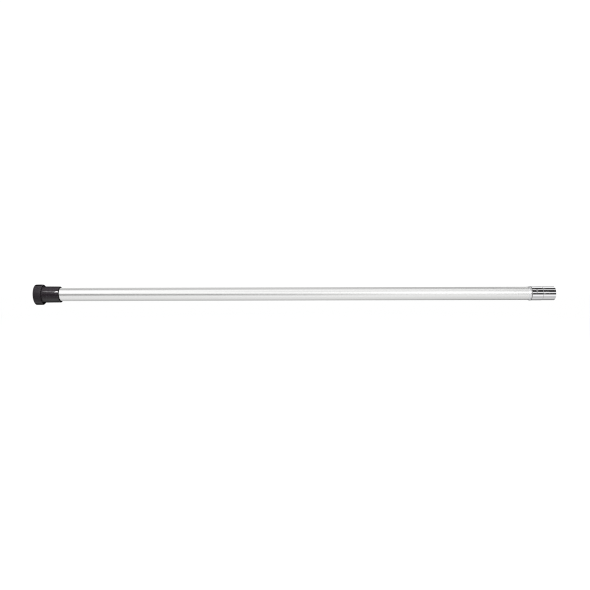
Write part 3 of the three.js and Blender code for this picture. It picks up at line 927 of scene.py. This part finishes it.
# ------------------------------------------------------------------ the studio
# What the pole mirrors: rings of (degrees, level) stops, levels up to 2. Degrees run
# round X: 0 towards -Y, 90 up, 180 towards +Y.
BACK = [(145, 0.72), (165, 0.80), (180, 0.80)]
UNDER = [(-180, 0.80), (-150, 0.60)]
ZONES = [  # X of the direction looked in, ring there
    (-0.34, UNDER + [
        (-128, 0.62), (-101, 0.80), (-77, 0.96), (-56, 0.97), (-37, 1.04), (-22, 0.82),
        (-11, 0.24), (-1, 0.22), (9, 0.90), (20, 1.42), (60, 1.42), (72, 1.22),
        (90, 0.46), (110, 0.66), (124, 0.83)] + BACK),
    (0.0, UNDER + [
        (-116, 0.74), (-88, 0.98), (-66, 0.95), (-47, 1.16), (-28, 1.00), (-11, 0.42),
        (8, 1.10), (24, 1.25), (42, 0.82), (61, 1.26), (82, 0.92), (107, 0.74)] + BACK),
    (0.19, UNDER + [
        (-126, 0.55), (-96, 0.90), (-72, 0.92), (-52, 1.02), (-34, 1.12), (-16, 1.10),
        (1, 1.32), (18, 1.50), (36, 1.12), (55, 1.02), (76, 1.12), (99, 0.65),
        (132, 0.60)] + BACK),
    (0.31, UNDER + [
        (-130, 0.22), (-101, 0.80), (-76, 0.78), (-56, 0.86), (-37, 0.86), (-19, 0.97),
        (-3, 1.70), (14, 1.90), (32, 1.65), (50, 0.92), (72, 1.22), (94, 0.45),
        (120, 0.42)] + BACK),
]
LIT = [(-180, 0.9), (-120, 0.9), (-60, 1.15), (60, 1.2), (120, 1.1), (180, 0.9)]
SIDES = [
    (-180, 0.75), (-150, 0.40), (-122, 0.55), (-95, 0.85), (-60, 0.95), (-30, 1.15),
    (-12, 0.30), (2, 0.15), (14, 0.60), (28, 1.25), (54, 1.30), (70, 0.90), (82, 0.18),
    (96, 0.14), (110, 0.60), (132, 0.95), (152, 0.50), (166, 0.45), (180, 0.75),
]
BANDS = [
    (-180, 0.60), (-160, 0.30), (-140, 0.30), (-124, 0.34), (-112, 0.45), (-98, 0.80),
    (-86, 0.86), (-72, 0.68), (-54, 0.76), (-38, 1.30), (-28, 1.15), (-22, 0.50),
    (-12, 0.30), (-9, 0.02), (3, 0.02), (6, 1.20), (19, 1.20), (22, 0.04), (38, 0.02),
    (54, 0.02), (57, 0.85), (71, 0.85), (74, 0.01), (97, 0.01), (100, 1.25), (125, 1.25),
    (140, 0.75), (152, 0.15), (166, 0.40), (180, 0.60),
]


def studio_world():
    world = bpy.data.worlds.new("studio")
    bpy.context.scene.world = world
    world.use_nodes = True
    w = Nodes(world.node_tree)
    output = w.new("OutputWorld")
    background = w.new("Background")
    w.put(output.inputs[0], background.outputs[0])
    x, y, z = w.split(w.new("TexCoord").outputs["Generated"])
    angle = w.math("ARCTAN2", z, w.math("MULTIPLY", y, -1.0))
    turn = w.math("ADD", w.math("DIVIDE", angle, 2 * math.pi), 0.5)  # 0 to 1

    def ring(stops):
        # a ramp's colours stop at 1, so levels are halved and doubled again
        halves = [((degrees + 180.0) / 360.0, grey(level / 2)) for degrees, level in stops]
        return w.math("MULTIPLY", w.ramp(turn, halves, "EASE"), 2.0)

    # the light changes slowly along the pole, then the end sees dark flags
    level = ring(ZONES[0][1])
    for (start, _), (end, stops) in zip(ZONES, ZONES[1:]):
        level = w.mix_value(w.remap(x, (start, end)), level, ring(stops))
    bands = ring(BANDS)
    minus_x = w.math("MULTIPLY", x, -1.0)

    def rise(value, start, end):
        return w.remap(value, (start, end), smooth=True)

    def window(rising, falling):
        """1 between two ranges of x, over which it rises and falls."""
        up = rise(x, *rising)
        return w.math("MULTIPLY", up, rise(minus_x, -falling[1], -falling[0]))

    near_band = window(rising=(0.347, 0.356), falling=(0.40, 0.44))
    far_band = window(rising=(0.46, 0.53), falling=(0.93, 0.975))
    away = rise(minus_x, start=0.42, end=0.60)
    level = w.mix_value(rise(x, start=0.36, end=0.42), level, ring(LIT))
    level = w.mix_value(w.math("MAXIMUM", far_band, away), level, ring(SIDES))
    mirrored = w.mix_value(near_band, level, bands)
    # diffuse light: a bright ceiling and floor, darker towards the horizon
    height = w.math("ABSOLUTE", z)
    fill = w.math("ADD", w.math("MULTIPLY", height, 0.80), 0.38)
    path = w.new("LightPath").outputs
    level = w.mix_value(path["Is Glossy Ray"], fill, mirrored)
    backdrop = w.math("ADD", 1.04, 0.0)
    level = w.mix_value(path["Is Camera Ray"], level, backdrop)
    w.put(background.inputs["Strength"], level)
    w.put(background.inputs["Color"], grey(1))


studio_world()

scene = bpy.context.scene
scene.view_settings.view_transform = "Standard"
scene.view_settings.look = "None"
scene.view_settings.exposure = 0.0
scene.view_settings.gamma = 1.0
scene.cycles.filter_width = 1.1
centre = (cad_bounds[0] + cad_bounds[1]) / 2


def floor_material():
    """Pale paper that fades to the backdrop far off and when seen almost edge-on."""
    material = bpy.data.materials.new("floor")
    material.use_nodes = True
    m = Nodes(material.node_tree)
    output = m.new("OutputMaterial")
    mixer = m.new("MixShader")
    paper = m.new("BsdfDiffuse")
    m.put(paper.inputs["Color"], grey(0.93))
    m.put(paper.inputs["Roughness"], 1.0)
    glow = m.new("Emission")
    m.put(glow.inputs["Strength"], 1.0)
    geometry = m.new("NewGeometry").outputs
    steep = m.remap(m.split(geometry["Incoming"])["Z"], (0.03, 0.16), smooth=True)
    distance = m.new("VectorMath")
    distance.operation = "DISTANCE"
    m.put(distance.inputs[0], geometry["Position"])
    distance.inputs[1].default_value = centre[:]
    near = m.remap(distance.outputs["Value"], (0.9, 1.9), to=(1.0, 0.0), smooth=True)
    m.put(mixer.inputs[0], m.math("MULTIPLY", steep, near))
    m.put(mixer.inputs[1], glow.outputs[0])
    m.put(mixer.inputs[2], paper.outputs[0])
    m.put(output.inputs["Surface"], mixer.outputs[0])
    return material


# floor: just under the foot, left out of reflections and bounced light
FLOOR_HALF = 30.0
floor_z = -foot_r * MM - 0.0002
mesh = bpy.data.meshes.new("floor")
corners = ((-1, -1), (1, -1), (1, 1), (-1, 1))
mesh.from_pydata([(x * FLOOR_HALF, y * FLOOR_HALF, floor_z) for x, y in corners], [], [range(4)])
floor = bpy.data.objects.new("floor", mesh)
scene.collection.objects.link(floor)
floor.visible_glossy = False
floor.visible_diffuse = False
floor.data.materials.append(floor_material())


def area_light(name, location, direction, size, watts):
    light = bpy.data.lights.new(name, "AREA")
    light.shape = "RECTANGLE"
    light.size, light.size_y = size
    light.energy = watts
    obj = bpy.data.objects.new(name, light)
    scene.collection.objects.link(obj)
    obj.location = location
    obj.rotation_euler = direction.to_track_quat("-Z", "Y").to_euler()
    obj.visible_camera = False
    return obj


def softbox(name, location, size, watts):
    """A large light aimed at the pole's middle, with no mirror image."""
    direction = Vector((centre.x, 0, 0)) - Vector(location)
    area_light(name, location, direction, size, watts).visible_glossy = False


softbox("key", (centre.x - 0.5, -1.3, 1.6), size=(1.6, 1.0), watts=12)
softbox("fill", (centre.x + 0.9, -1.0, 0.9), size=(1.2, 0.8), watts=5)
softbox("back", (centre.x, 1.4, 1.3), size=(2.0, 0.8), watts=12)

EYE = Vector((0.48609042, -1.2199253, -0.00206767))  # the camera's place
foot_only = bpy.data.collections.new("foot_only")
foot_only.objects.link(PIECES["rubber_foot"])


def strip(name, x, above, width, height, reach, level):
    """A small light for the foot alone, whose mirror image, as the camera sees it,
    falls on the sleeve at x and so many degrees above the middle. It stands off by
    reach. Lengths are in millimetres."""
    angle = math.radians(above)
    normal = Vector((0, -math.cos(angle), math.sin(angle)))
    point = Vector((x * MM, 0, 0)) + normal * SLEEVE_R * MM
    sight = (point - EYE).normalized()
    mirrored = sight - 2 * sight.dot(normal) * normal
    size = width * MM, height * MM
    watts = level * math.pi * size[0] * size[1]
    light = area_light(name, point + mirrored * reach * MM, -mirrored, size, watts)
    light.light_linking.receiver_collection = foot_only


strip("sleeve_glint", x=44.0, above=19.1, width=6, height=12, reach=45, level=105)
strip("sleeve_streak", x=30.0, above=19.8, width=26, height=15, reach=110, level=14)
strip("sleeve_under", x=30.0, above=-33.0, width=60, height=80, reach=110, level=0.8)

# camera: level and square to the pole, with a slight roll
camera = bpy.data.cameras.new("camera")
camera.sensor_width = 36.0
camera.sensor_fit = "HORIZONTAL"
camera.lens = 39.6
camera.clip_start = 0.01
camera.clip_end = 200
camera_obj = bpy.data.objects.new("camera", camera)
scene.collection.objects.link(camera_obj)
camera_obj.location = EYE
roll = Matrix.Rotation(math.radians(-0.145), 3, "Z")
camera_obj.rotation_euler = (Matrix.Rotation(math.radians(90), 3, "X") @ roll).to_euler()
scene.camera = camera_obj
